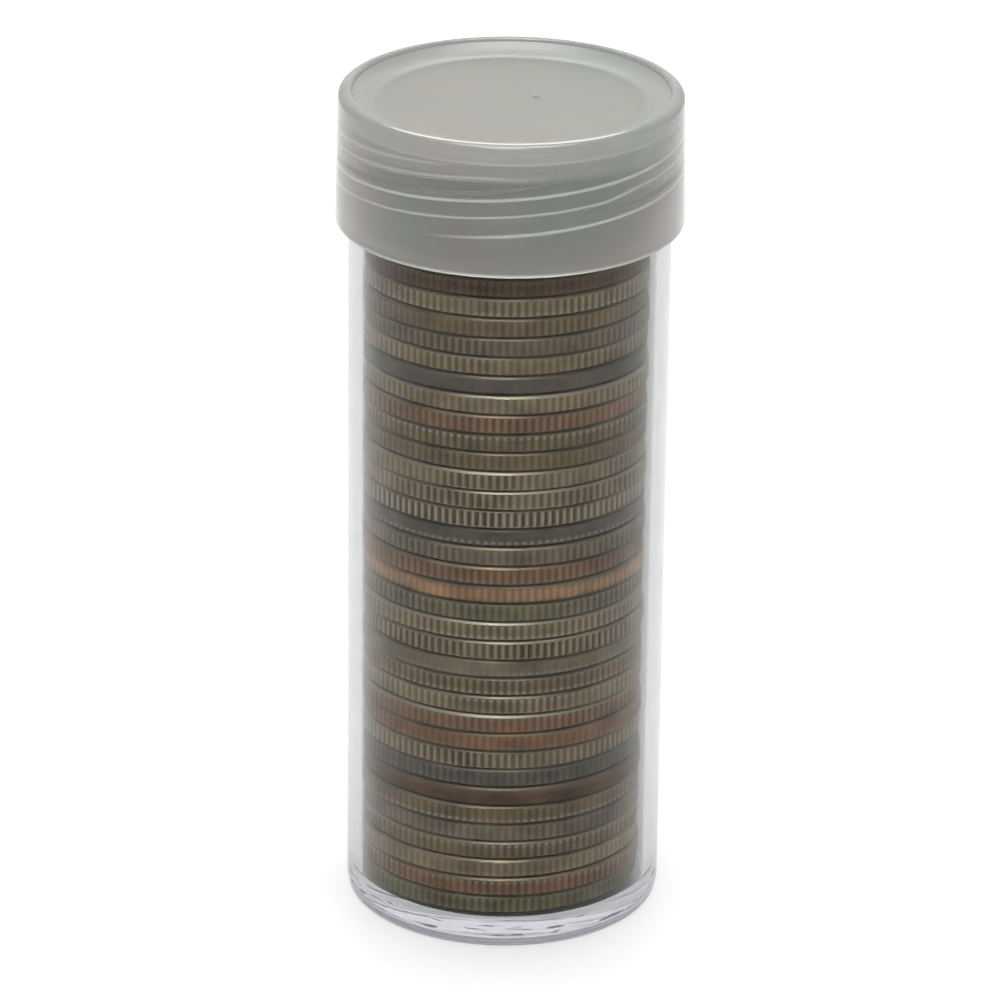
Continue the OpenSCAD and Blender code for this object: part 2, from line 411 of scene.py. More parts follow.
def frosted_cap(tint):
    """Natural low-density polyethylene, moulded with a satin skin. It gives the eye a milky,
    greyish veil through which the thread and the coins show softly."""
    material, tree = blank_material("frosted_polyethylene")
    place = add(tree, "ShaderNodeTexCoord").outputs["Object"]
    # Cloudy flow in patches of about 11 mm, greenish against pinkish
    cloud = add(tree, "ShaderNodeTexNoise", {"Vector": place, "Scale": 90.0, "Detail": 1.0})
    cloud = add(tree, "ShaderNodeMapRange", {"Value": cloud, "From Min": 0.4, "From Max": 0.6})
    green = [tint[0] * 0.99, tint[1] * 1.008, tint[2]]
    pink = [tint[0] * 1.018, tint[1] * 0.987, tint[2] * 0.99]
    tone = add(tree, "ShaderNodeMix", {"Factor": cloud, 6: linear(green), 7: linear(pink)},
               data_type="RGBA")
    # The core pin left the inner face rough and milky, the cavity left the outer one satin.
    # The gate mark is white; the lines along the thread are painted white as painted highlights,
    # and the lower flanks of the cap's ridges are painted grey as painted shade.
    rough, clear, marks_and_painted_light = [add(tree, "ShaderNodeAttribute", attribute_name=name).outputs["Fac"]
                            for name in ("roughness", "clearness", "marks_and_painted_light")]
    # The thick rim is milkier than the skirt and the panel
    radius, height = radius_and_height(tree, place)
    milky = add(tree, "ShaderNodeMapRange", {"Value": radius, "From Min": 10.8 * MM,
                                             "From Max": 12.9 * MM})
    high = add(tree, "ShaderNodeMapRange", {"Value": height, "From Min": 70.4 * MM,
                                            "From Max": 72.6 * MM})
    milky = add(tree, "ShaderNodeMath", {0: milky, 1: high}, operation="MULTIPLY")
    milky = add(tree, "ShaderNodeMath", {0: milky, 1: 0.55}, operation="MULTIPLY")
    clear = add(tree, "ShaderNodeMath", {0: clear, 1: milky}, operation="SUBTRACT")
    # Painted shade on the top: its colour is scaled to about half, least in a ring between its
    # panel and its outer edge and most at the rim's outer edge
    ring = add(tree, "ShaderNodeMapRange", {"Value": radius, "From Max": 15 * MM})
    ring = add(tree, "ShaderNodeValToRGB", {"Fac": ring})
    stops = ring.color_ramp.elements
    for stop, at, level in ((stops[0], 11.0, 0.56), (stops.new(0.8), 12.4, 0.62),
                            (stops.new(0.9), 13.3, 0.58), (stops[-1], 14.4, 0.44)):
        stop.position, stop.color = at / 15, (level, level, level, 1)
    shade = add(tree, "ShaderNodeMix", {"Factor": high, 2: 1.0, 3: ring})
    tone = add(tree, "ShaderNodeVectorMath", {0: tone.outputs[2], "Scale": shade},
               operation="SCALE")
    # Painted highlights: the lines along the thread, and the gate mark, turn white
    white = add(tree, "ShaderNodeMath", {0: marks_and_painted_light, 1: 0.0}, operation="MAXIMUM")
    colour = add(tree, "ShaderNodeMix", {"Factor": white, 6: tone, 7: linear("#F6F7F4")},
                 data_type="RGBA")
    # Painted shade: the lower flanks of the cap's ridges turn grey
    flank_shade = add(tree, "ShaderNodeMath", {0: marks_and_painted_light, 1: -1.0}, operation="MULTIPLY", use_clamp=True)
    colour = add(tree, "ShaderNodeMix", {"Factor": flank_shade, 6: colour.outputs[2],
                                         7: linear("#7A776F")}, data_type="RGBA")
    haze = add(tree, "ShaderNodeMath", {0: marks_and_painted_light}, operation="ABSOLUTE")
    clear = add(tree, "ShaderNodeMath", {0: haze, 1: -0.68, 2: clear}, operation="MULTIPLY_ADD",
                use_clamp=True)
    skin = add(tree, "ShaderNodeBsdfPrincipled", {
        "Base Color": colour.outputs[2], "Roughness": rough, "IOR": 1.5,
        "Transmission Weight": clear})
    let_lamps_through(tree, skin, "#D6D9D4")
    return material


# Finishes of a circulated clad coin: skin colour, colour of the core that shows in the middle
# of the edge, how much of it shows, and the roughness of the metal
FINISHES = {
    "nickel": ("#B8A382", "#A7906E", 0.30, 0.36),
    "grey": ("#A1917A", "#928268", 0.30, 0.38),
    "brown": ("#A18E6D", "#A38261", 0.45, 0.40),
    "red": ("#A78966", "#B47B5E", 0.60, 0.40),
    "copper": ("#AF9472", "#DFAE84", 0.85, 0.36),
    "green": ("#9C9272", "#928867", 0.40, 0.40),
    "slate": ("#80776A", "#766E62", 0.30, 0.38),
    "dark": ("#7C6348", "#75533B", 0.60, 0.42),
}
# From the lowest coin up: finish, how much of the reeding is left, then how bright its upper
# edge, the upper ends of its reeds, their middles and their lower ends are rubbed
COINS = (
    ("green", 0.62, 0.1, 0.2, 0.0, 0.1), ("red", 0.7, 0.2, 0.6, 0.1, 0.2),
    ("nickel", 0.47, 0.1, 0.1, 0.0, 0.2), ("brown", 0.62, 0.8, 0.6, 0.1, 0.1),
    ("grey", 0.59, 0.2, 0.1, 0.0, 0.1), ("brown", 0.55, 0.1, 0.1, 0.0, 0.6),
    ("dark", 0.15, 0.2, 0.1, 0.0, 0.0), ("slate", 0.55, 0.3, 0.1, 0.0, 0.1),
    ("nickel", 1, 0.3, 0.3, 0.3, 0.3), ("red", 0.51, 0.2, 0.1, 0.0, 0.2),
    ("red", 0.62, 0.9, 0.3, 0.1, 0.1), ("nickel", 0.77, 0.2, 0.7, 0.1, 0.2),
    ("brown", 0.7, 0.7, 0.3, 0.1, 0.6), ("grey", 0.15, 0.1, 0.0, 0.0, 0.3),
    ("nickel", 1, 0.2, 0.3, 0.3, 0.2), ("nickel", 0.7, 0.9, 0.3, 0.1, 0.7),
    ("green", 0.77, 0.2, 0.4, 0.1, 0.2), ("copper", 0.47, 0.3, 0.1, 0.0, 0.0),
    ("red", 0.62, 0.2, 0.1, 0.1, 0.3), ("grey", 0.62, 0.2, 0.2, 0.1, 0.2),
    ("slate", 0.15, 0.1, 0.0, 0.0, 0.6), ("nickel", 1, 0.2, 0.7, 0.8, 0.6),
    ("nickel", 0.85, 0.7, 0.3, 0.2, 0.3), ("nickel", 0.85, 0.8, 0.3, 0.2, 0.2),
    ("brown", 0.62, 0.2, 0.2, 0.0, 0.1), ("brown", 0.7, 0.2, 0.8, 0.1, 0.1),
    ("red", 0.77, 0.3, 0.3, 0.2, 0.2), ("nickel", 0.62, 0.9, 0.2, 0.1, 0.1),
    ("slate", 0.1, 0.2, 0.0, 0.0, 0.0), ("nickel", 0.7, 0.8, 0.4, 0.1, 0.1),
    ("grey", 0.7, 0.3, 0.2, 0.1, 0.1), ("brown", 0.62, 0.2, 0.2, 0.1, 0.2),
    ("nickel", 0.77, 0.2, 0.3, 0.1, 0.8), ("dark", 0.47, 0.1, 0.1, 0.0, 0.1),
    ("nickel", 0.7, 0.5, 0.3, 0.1, 0.2), ("brown", 0.7, 0.4, 0.2, 0.1, 0.2),
    ("grey", 0.62, 0.6, 0.2, 0.1, 0.2), ("nickel", 0.85, 0.3, 0.4, 0.2, 0.2),
    ("brown", 0.62, 0.5, 0.2, 0.1, 0.2), ("nickel", 0.85, 0.6, 0.3, 0.1, 0.2),
)


def clad_coin(name, skin_hex, core_hex, core_share, roughness):
    """Copper-nickel cladding on a copper core, blanked and rolled, then worn in use. It gives
    the eye a dull olive grey with bright rubbed rims, a warm core line and dirt in the reeds."""
    material, tree = blank_material("clad_coin_" + name)
    place = add(tree, "ShaderNodeTexCoord").outputs["Object"]
    height, groove, wear_and_painted_light = [add(tree, "ShaderNodeAttribute", attribute_name=name).outputs["Fac"]
                           for name in ("edge_height", "reed_groove", "wear_and_painted_light")]
    # The core is the middle two thirds of the thickness, smeared unevenly by the blanking
    smear = add(tree, "ShaderNodeTexNoise", {"Vector": place, "Scale": 420.0, "Detail": 3.0})
    lift = add(tree, "ShaderNodeMath", {0: smear, 1: 0.5}, operation="SUBTRACT")
    lift = add(tree, "ShaderNodeMath", {0: lift, 1: 0.5, 2: height}, operation="MULTIPLY_ADD")
    band = add(tree, "ShaderNodeValToRGB", {"Fac": lift})
    ramp = band.color_ramp
    ramp.elements[0].position, ramp.elements[0].color = 0.12, (0, 0, 0, 1)
    ramp.elements[1].position, ramp.elements[1].color = 0.3, (1, 1, 1, 1)
    for at, level in ((0.68, 1), (0.86, 0)):
        ramp.elements.new(at).color = (level, level, level, 1)
    core = add(tree, "ShaderNodeMath", {0: band, 1: core_share}, operation="MULTIPLY")
    clad = add(tree, "ShaderNodeMix", {"Factor": core, 6: linear(skin_hex), 7: linear(core_hex)},
               data_type="RGBA")
    # Toning in patches of about 3 mm
    patch = add(tree, "ShaderNodeTexNoise", {"Vector": place, "Scale": 330.0, "Detail": 4.0})
    spread = add(tree, "ShaderNodeMapRange", {"Value": patch, "From Min": 0.3,
                                              "From Max": 0.7, "To Min": 0.76, "To Max": 1.62})
    toned = add(tree, "ShaderNodeVectorMath", {0: clad.outputs[2], "Scale": spread},
                operation="SCALE")
    # Reed tops and edges are rubbed bright and dirt lies in the grooves; the lower edge of each
    # coin is darkened, painted shade between the coins and partly dirt
    tops = add(tree, "ShaderNodeMath", {0: 1.0, 1: groove}, operation="SUBTRACT")
    tops = add(tree, "ShaderNodeMath", {0: wear_and_painted_light, 1: tops}, operation="MULTIPLY", use_clamp=True)
    marks_and_painted_light = add(tree, "ShaderNodeMix", {"Factor": tops, 6: toned, 7: linear("#E8DDC6")},
                 data_type="RGBA")
    # Painted shade between the coins, partly dirt, where the wear value is below 0
    seam_shade = add(tree, "ShaderNodeMath", {0: wear_and_painted_light, 1: -1.0}, operation="MULTIPLY", use_clamp=True)
    dirt_and_seam_shade = add(tree, "ShaderNodeMath", {0: groove, 1: 0.72, 2: seam_shade},
                operation="MULTIPLY_ADD", use_clamp=True)
    with_dirt_and_seam_shade = add(tree, "ShaderNodeMix", {"Factor": dirt_and_seam_shade, 6: marks_and_painted_light.outputs[2], 7: linear("#2A251D")},
               data_type="RGBA")
    # Handling scratches, 0.12 mm apart, too fine to show singly from the photographed distance
    fine = add(tree, "ShaderNodeTexNoise", {"Vector": place, "Scale": 6000.0, "Detail": 2.0})
    bump = add(tree, "ShaderNodeBump", {"Height": fine, "Distance": 0.01 * MM, "Strength": 0.3})
    shine = add(tree, "ShaderNodeMapRange", {"Value": patch, "From Min": 0.3,
                                             "From Max": 0.7, "To Min": roughness - 0.05,
                                             "To Max": roughness + 0.08})
    metal = add(tree, "ShaderNodeBsdfPrincipled", {"Base Color": with_dirt_and_seam_shade.outputs[2], "Metallic": 0.9,
                                                   "Roughness": shine, "Normal": bump})
    add(tree, "ShaderNodeOutputMaterial", {"Surface": metal})
    return material


def paper_floor(colour):
    """Matt white card, calendered smooth. It gives the eye an even white with a faint tooth of
    about a millimetre."""
    material, tree = blank_material("white_paper")
    place = add(tree, "ShaderNodeTexCoord").outputs["Object"]
    tooth = add(tree, "ShaderNodeTexNoise", {"Vector": place, "Scale": 900.0, "Detail": 2.0})
    paler = [min(1, c * 1.01) for c in colour]
    tone = add(tree, "ShaderNodeMix", {"Factor": tooth, 6: linear(colour), 7: linear(paler)},
               data_type="RGBA")
    paper = add(tree, "ShaderNodeBsdfPrincipled", {
        "Base Color": tone.outputs[2], "Roughness": 0.9, "Specular IOR Level": 0.1})
    add(tree, "ShaderNodeOutputMaterial", {"Surface": paper})
    return material


# ---------------------------------------------------------------- coin

def coin_nodes():
    """Geometry Nodes that turn a coin's half section into a reeded coin. The section's points
    hold their radius in X, the share of the reeding in Y and their height in Z."""
    tree = bpy.data.node_groups.new("Reeded coin", "GeometryNodeTree")
    tree.is_modifier = True
    tree.interface.new_socket("Geometry", in_out="INPUT", socket_type="NodeSocketGeometry")
    for name, kind in (("Reeds", "Int"), ("Reed depth", "Float"), ("Turn", "Float"),
                       ("Base", "Float"), ("Thickness", "Float"), ("Field depth", "Float"),
                       ("Middle", "Vector"), ("Beads", "Int"), ("Bead ring", "Float"),
                       ("Star", "Float"), ("Seed", "Int"), ("Metal", "Material")):
        tree.interface.new_socket(name, in_out="INPUT", socket_type="NodeSocket" + kind)
    tree.interface.new_socket("Geometry", in_out="OUTPUT", socket_type="NodeSocketGeometry")
    given = add(tree, "NodeGroupInput").outputs
    section = given["Geometry"]
    position = add(tree, "GeometryNodeInputPosition")

    # A grid with one row for each point of the section and four columns for each reed
    rows = add(tree, "GeometryNodeAttributeDomainSize",
               {"Geometry": section}).outputs["Point Count"]
    columns = add(tree, "ShaderNodeMath", {0: given["Reeds"], 1: 4.0, 2: 1.0},
                  operation="MULTIPLY_ADD")
    grid = add(tree, "GeometryNodeMeshGrid", {"Vertices X": columns, "Vertices Y": rows})
    index = add(tree, "GeometryNodeInputIndex")
    column = add(tree, "ShaderNodeMath", {0: index, 1: rows}, operation="DIVIDE")
    column = add(tree, "ShaderNodeMath", {0: column}, operation="FLOOR")
    row = add(tree, "ShaderNodeMath", {0: index, 1: rows}, operation="MODULO")
    wear_and_seam_shade = add(tree, "GeometryNodeInputNamedAttribute", {"Name": "wear_and_painted_light"}, data_type="FLOAT")
    point, wear_and_painted_light = [add(tree, "GeometryNodeSampleIndex", {
        "Geometry": section, "Value": value, "Index": row}, data_type=kind, domain="POINT")
        for value, kind in ((position, "FLOAT_VECTOR"), (wear_and_seam_shade, "FLOAT"))]
    radius, reeding, level = add(tree, "ShaderNodeSeparateXYZ", {0: point}).outputs

    # Two columns on a reed, two in the groove after it, and no groove quite like another
    phase = add(tree, "ShaderNodeMath", {0: column, 1: 4.0}, operation="MODULO")
    groove = add(tree, "ShaderNodeMath", {0: phase, 1: 1.5}, operation="GREATER_THAN")
    reed = add(tree, "ShaderNodeMath", {0: column, 1: 4.0}, operation="DIVIDE")
    reed = add(tree, "ShaderNodeMath", {0: reed}, operation="FLOOR")
    worn = add(tree, "FunctionNodeRandomValue", {"Min": 0.65, "Max": 1.0, "ID": reed,
                                                 "Seed": given["Seed"]}, data_type="FLOAT")
    step = add(tree, "ShaderNodeMath", {0: math.pi / 2, 1: given["Reeds"]}, operation="DIVIDE")
    angle = add(tree, "ShaderNodeMath", {0: column, 1: step, 2: given["Turn"]},
                operation="MULTIPLY_ADD")
    turns = [add(tree, "ShaderNodeMath", {0: angle}, operation=turn) for turn in ("COSINE", "SINE")]
    # Wear comes and goes round the edge, in stretches of about 8 mm
    spot = add(tree, "ShaderNodeCombineXYZ", {0: turns[0], 1: turns[1], 2: given["Seed"]})
    kept = add(tree, "ShaderNodeTexNoise", {"Vector": spot, "Scale": 1.7, "Detail": 1.0})
    kept = add(tree, "ShaderNodeMapRange", {"Value": kept, "From Min": 0.38,
                                            "From Max": 0.58, "To Min": 0.62})
    share = add(tree, "ShaderNodeMath", {0: groove, 1: reeding}, operation="MULTIPLY")
    share = add(tree, "ShaderNodeMath", {0: share, 1: kept}, operation="MULTIPLY")
    wear_and_painted_light = add(tree, "ShaderNodeMath", {0: wear_and_painted_light, 1: kept}, operation="MULTIPLY")
    depth = add(tree, "ShaderNodeMath", {0: given["Reed depth"], 1: worn.outputs[1]},
                operation="MULTIPLY")
    depth = add(tree, "ShaderNodeMath", {0: depth, 1: share}, operation="MULTIPLY")
    radius = add(tree, "ShaderNodeMath", {0: radius, 1: depth}, operation="SUBTRACT")
    across = [add(tree, "ShaderNodeMath", {0: radius, 1: turn}, operation="MULTIPLY")
              for turn in turns]
    place = add(tree, "ShaderNodeCombineXYZ", {0: across[0], 1: across[1], 2: level})
    body = add(tree, "GeometryNodeSetPosition", {"Geometry": grid.outputs["Mesh"],
                                                 "Position": place})
    for name, value in (("reed_groove", share), ("wear_and_painted_light", wear_and_painted_light)):
        body = add(tree, "GeometryNodeStoreNamedAttribute", {
            "Geometry": body, "Name": name, "Value": value}, data_type="FLOAT", domain="POINT")
    body = add(tree, "GeometryNodeMergeByDistance", {"Geometry": body, "Distance": 1e-7})

    # Relief of one face, a ring of beads and a five-pointed star, each bead a small flat dome
    ring = add(tree, "GeometryNodeMeshCircle", {"Vertices": given["Beads"],
                                                "Radius": given["Bead ring"]})
    bead_r = add(tree, "ShaderNodeMath", {0: given["Field depth"], 1: 1.3}, operation="MULTIPLY")
    bead = add(tree, "GeometryNodeMeshIcoSphere", {"Radius": bead_r, "Subdivisions": 1})
    beads = add(tree, "GeometryNodeInstanceOnPoints", {
        "Points": ring, "Instance": bead, "Scale": (1, 1, 0.5)})
    star = add(tree, "GeometryNodeMeshCone", {
        "Vertices": 10, "Radius Bottom": given["Star"], "Radius Top": 0.0,
        "Depth": given["Field depth"]}, fill_type="TRIANGLE_FAN")
    inner = add(tree, "ShaderNodeMath", {0: index, 1: 2.0}, operation="MODULO")
    inner = add(tree, "ShaderNodeMapRange", {"Value": inner, "To Min": 1.0, "To Max": 0.4})
    flat = add(tree, "ShaderNodeCombineXYZ", {0: inner, 1: inner, 2: 0.8})
    flat = add(tree, "ShaderNodeVectorMath", {0: position, 1: flat}, operation="MULTIPLY")
    star = add(tree, "GeometryNodeSetPosition", {"Geometry": star.outputs["Mesh"],
                                                 "Position": flat})
    relief = add(tree, "GeometryNodeJoinGeometry")
    tree.links.new(beads.outputs[0], relief.inputs[0])
    tree.links.new(star.outputs[0], relief.inputs[0])
    top = add(tree, "ShaderNodeMath", {0: given["Base"], 1: given["Thickness"]}, operation="ADD")
    top = add(tree, "ShaderNodeMath", {0: top, 1: given["Field depth"]}, operation="SUBTRACT")
    low = add(tree, "ShaderNodeMath", {0: given["Base"], 1: given["Field depth"]}, operation="ADD")
    both = add(tree, "GeometryNodeJoinGeometry")
    for level_at, tilt in ((top, 0.0), (low, math.pi)):
        place = add(tree, "ShaderNodeCombineXYZ", {2: level_at})
        turn = add(tree, "ShaderNodeCombineXYZ", {0: tilt, 2: given["Turn"]})
        face = add(tree, "GeometryNodeTransform", {"Geometry": relief, "Translation": place,
                                                   "Rotation": turn})
        tree.links.new(face.outputs[0], both.inputs[0])
    tree.links.new(body.outputs[0], both.inputs[0])
    whole = add(tree, "GeometryNodeRealizeInstances", {"Geometry": both})

    # How high a point lies on its coin, from 0 at the lower face to 1 at the upper
    z = add(tree, "ShaderNodeSeparateXYZ", {0: position}).outputs[2]
    z = add(tree, "ShaderNodeMath", {0: z, 1: given["Base"]}, operation="SUBTRACT")
    z = add(tree, "ShaderNodeMath", {0: z, 1: given["Thickness"]}, operation="DIVIDE")
    whole = add(tree, "GeometryNodeStoreNamedAttribute", {
        "Geometry": whole, "Name": "edge_height", "Value": z}, data_type="FLOAT", domain="POINT")
    whole = add(tree, "GeometryNodeTransform", {"Geometry": whole, "Translation": given["Middle"]})
    whole = add(tree, "GeometryNodeSetMaterial", {"Geometry": whole, "Material": given["Metal"]})
    add(tree, "NodeGroupOutput", {0: whole})
    return tree


def coin_section(thickness, radius, size, edge_r, wear, line, top, middle, low):
    """Half section of a coin as a line of points, from the middle of its lower face round the
    edge to the middle of its upper face: radius, share of the reeding, height, and wear, which
    below 0 is painted shade in the seam under the coin."""
    field_r = radius - size.rim_w - 1.5 * size.field
    reed_end = 0.2 * MM

    def half(edge, ends):
        kept = max(wear, ends)
        return [(0.0, 0.0, size.field, 0.0), (field_r, 0.0, size.field, 0.0),
                (field_r + 0.75 * size.field, 0.0, size.field * 0.35, 0.0),
                (radius - size.rim_w, 0.0, 0.0, 0.0), (radius - edge_r * 1.2, 0.0, 0.0, edge),
                (radius - edge_r, 0.0, edge_r * 0.06, edge),
                (radius - edge_r * 0.12, 0.0, edge_r * 0.98, edge),
                (radius, kept * 0.5, edge_r * 1.25, max(edge * 0.4, ends)),
                (radius, kept, edge_r * 1.4, ends),
                (radius, kept, edge_r * 1.4 + reed_end, ends),
                (radius, wear, edge_r * 1.4 + reed_end * 1.5, middle)]

    upper = [(r, share, thickness - z, wear_and_painted_light) for r, share, z, wear_and_painted_light in reversed(half(line, top))]
    # The lower edge takes -0.9: painted shade between the coins, partly dirt
    return half(-0.9, low) + upper


def build_coin(name, tree, material, look, seed):
    """One coin as a plain mesh in its CAD node's place."""
    size = bpy.context.scene.coin_tube_coin
    low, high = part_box(name)
    thickness, radius = high[2] - low[2], min(high[0] - low[0], high[1] - low[1]) / 2
    wear, *wear_and_seam_shade = look if size.wear else (1.0, 0.5, 0.2, 0.1, 0.2)
    draw = random.Random(seed)
    edge_r = size.edge_r * (1.5 - wear * 0.5)
    rows = coin_section(thickness, radius, size, edge_r, wear, *wear_and_seam_shade)
    mesh = bpy.data.meshes.new(name + "_section")
    mesh.from_pydata([row[:3] for row in rows], [(i, i + 1) for i in range(len(rows) - 1)], [])
    mesh.attributes.new("wear_and_painted_light", "FLOAT", "POINT").data.foreach_set("value", [r[3] for r in rows])
    piece = new_piece(name + "_coin", mesh)
    values = {
        "Reeds": size.reeds, "Reed depth": size.reed_depth,
        "Turn": draw.uniform(0, 2 * math.pi), "Base": 0.0, "Thickness": thickness,
        "Field depth": size.field,
        "Middle": ((low[0] + high[0]) / 2, (low[1] + high[1]) / 2, low[2]), "Beads": size.beads,
        "Bead ring": radius - size.rim_w - 3.4 * size.field, "Star": radius * 0.5,
        "Seed": seed, "Metal": material}
    modifier = piece.modifiers.new("Reeded coin", "NODES")
    modifier.node_group = tree
    for socket in tree.interface.items_tree:
        if socket.in_out == "INPUT" and socket.name in values:
            modifier[socket.identifier] = values[socket.name]
    piece.update_tag()
    graph = bpy.context.evaluated_depsgraph_get()
    plain = bpy.data.meshes.new_from_object(piece.evaluated_get(graph))
    piece.modifiers.clear()
    piece.data = plain
    bpy.data.meshes.remove(mesh)
    build = bmesh.new()
    build.from_mesh(plain)
    bmesh.ops.recalc_face_normals(build, faces=build.faces)
    build.to_mesh(plain)
    build.free()
    plain.name = name + "_coin"
    return piece


# ---------------------------------------------------------------- operators

class COINTUBE_OT_tube(bpy.types.Operator):
    """Build the clear tube with its foot ring, neck and thread"""
    bl_idname = "cointube.tube"
    bl_label = "Clear tube"

    def execute(self, context):
        size = context.scene.coin_tube_tube
        shoulder = MOUTH - size.neck_h
        wall_r = size.bore_r + size.wall
        foot_r = wall_r - size.foot_step
        neck_r = size.bore_r + size.neck_wall
        recess_r = foot_r - size.foot_w
        floor = size.recess + size.floor
        edge, shoulder_r, mouth_r = 0.25 * MM, 0.15 * MM, 0.18 * MM
        gate_r, gate_h = 0.9 * MM, 0.25 * MM
        neck, cap, drop = thread_places()
        strip = [(0, size.recess - gate_h), (gate_r * 0.85, size.recess - gate_h),
                 (gate_r, size.recess), (recess_r - 0.15 * MM, size.recess)]
        strip += arc((recess_r + 0.1 * MM, 0.1 * MM), 0.1 * MM, 180, 270)
        strip += arc((foot_r - edge, edge), edge, -90, 0)
        strip += [(foot_r, size.foot_h - size.foot_step),
                  (wall_r - 0.03 * MM, size.foot_h - 0.03 * MM),
                  (wall_r, size.foot_h + 0.04 * MM)]
        strip += arc((wall_r - shoulder_r, shoulder - shoulder_r), shoulder_r, 0, 90)
        strip += [(neck_r + 0.05 * MM, shoulder), (neck_r, shoulder + 0.05 * MM)]
        strip += thread_lines(shoulder + 0.06 * MM, MOUTH - mouth_r - 0.01 * MM, neck_r, 1,
                              neck, cap, -drop)
        strip += arc((neck_r - mouth_r, MOUTH - mouth_r), mouth_r, 0, 90)
        strip += arc((size.bore_r + mouth_r, MOUTH - mouth_r), mouth_r, 90, 180)
        strip += [(size.bore_r, floor + 0.05 * MM), (size.bore_r - 0.02 * MM, floor), (0, floor)]
        piece = new_piece("clear_tube", turned_shell("clear_tube", [(0.025, 1.0, strip)]))
        finish(piece, clear_styrene(size.tint), "tube", "clear_styrene", "tube")
        return {"FINISHED"}


class COINTUBE_OT_coins(bpy.types.Operator):
    """Build the roll of coins, each with its own wear, toning and turn"""
    bl_idname = "cointube.coins"
    bl_label = "Coins"

    def execute(self, context):
        tree = coin_nodes()
        metals = {name: clad_coin(name, *look) for name, look in FINISHES.items()}
        for i, name in enumerate(COIN_NAMES):
            finish_name, *look = COINS[i]
            piece = build_coin(name, tree, metals[finish_name], look, i + 1)
            body = next(b for b, nodes in frame["record"]["behaviour"]["bodies"].items()
                        if name in nodes)
            finish(piece, metals[finish_name], body, "clad_coin", name)
        return {"FINISHED"}


class COINTUBE_OT_cap(bpy.types.Operator):
    """Build the frosted screw cap with its rim, dish and inner thread"""
    bl_idname = "cointube.cap"
    bl_label = "Screw cap"

    def execute(self, context):
        size, thread = context.scene.coin_tube_cap, context.scene.coin_tube_thread
        tube = context.scene.coin_tube_tube
        inner_r = tube.bore_r + tube.neck_wall + thread.height + thread.gap
        outer_r = inner_r + size.wall
        top_r = outer_r - size.draft
        panel = CAP_HIGH - size.rim_rise
        ceiling = panel - size.panel
        rim_in = top_r - size.rim_w
        edge, rim_outer, rim_inner = 0.35 * MM, 0.55 * MM, 0.3 * MM
        lead_in, corner, fall = 0.2 * MM, 0.3 * MM, 0.09 * MM
        neck, cap, drop = thread_places()
        skirt = [(inner_r + lead_in, CAP_LOW)] + arc((outer_r - edge, CAP_LOW + edge), edge, -90, 0)
        skirt += arc((top_r - rim_outer, CAP_HIGH - rim_outer - fall), rim_outer, 0, 82)
        crest = arc((rim_in + rim_inner, CAP_HIGH - rim_inner), rim_inner, 90, 180)
        steps = 8
        dish = [crest[-1]] + [(rim_in - size.dish_w * k / steps,
                               panel + (size.rim_rise - rim_inner) * (1 - k / steps) ** 1.7)
                              for k in range(1, steps + 1)]
        dish += [(rim_in - size.dish_w - 0.4 * MM, panel), (0, panel)]
        under = [(0, ceiling)] + arc((inner_r - corner, ceiling - corner), corner, 90, 0)
        under += reversed(thread_lines(CAP_LOW + lead_in + 0.02 * MM, ceiling - corner - 0.02 * MM,
                                       inner_r, -1, cap, neck, drop))
        under += [(inner_r, CAP_LOW + lead_in), (inner_r + lead_in, CAP_LOW)]
        piece = new_piece("screw_cap", turned_shell("screw_cap", [
            (0.14, 0.94, skirt), (0.08, 0.9, [skirt[-1]] + crest), (0.34, 0.92, dish),
            (0.42, 0.7, under)]))
        gate_r, gate_h = 0.35 * MM, 0.12 * MM
        build = bmesh.new()
        build.from_mesh(piece.data)
        gate = bmesh.ops.create_cone(
            build, cap_ends=True, segments=24, radius1=gate_r, radius2=gate_r * 0.7,
            depth=gate_h * 1.5,
            matrix=Matrix.Translation((2.1 * MM, 1.3 * MM, panel + gate_h * 0.25)))
        marks = [build.faces.layers.float[key] for key in ("roughness", "clearness", "marks_and_painted_light")]
        for face in {face for vert in gate["verts"] for face in vert.link_faces}:
            face[marks[0]], face[marks[1]], face[marks[2]] = 0.3, 0.84, 0.3
        build.to_mesh(piece.data)
        build.free()
        finish(piece, frosted_cap(size.tint), "cap", "frosted_cap", "cap")
        return {"FINISHED"}


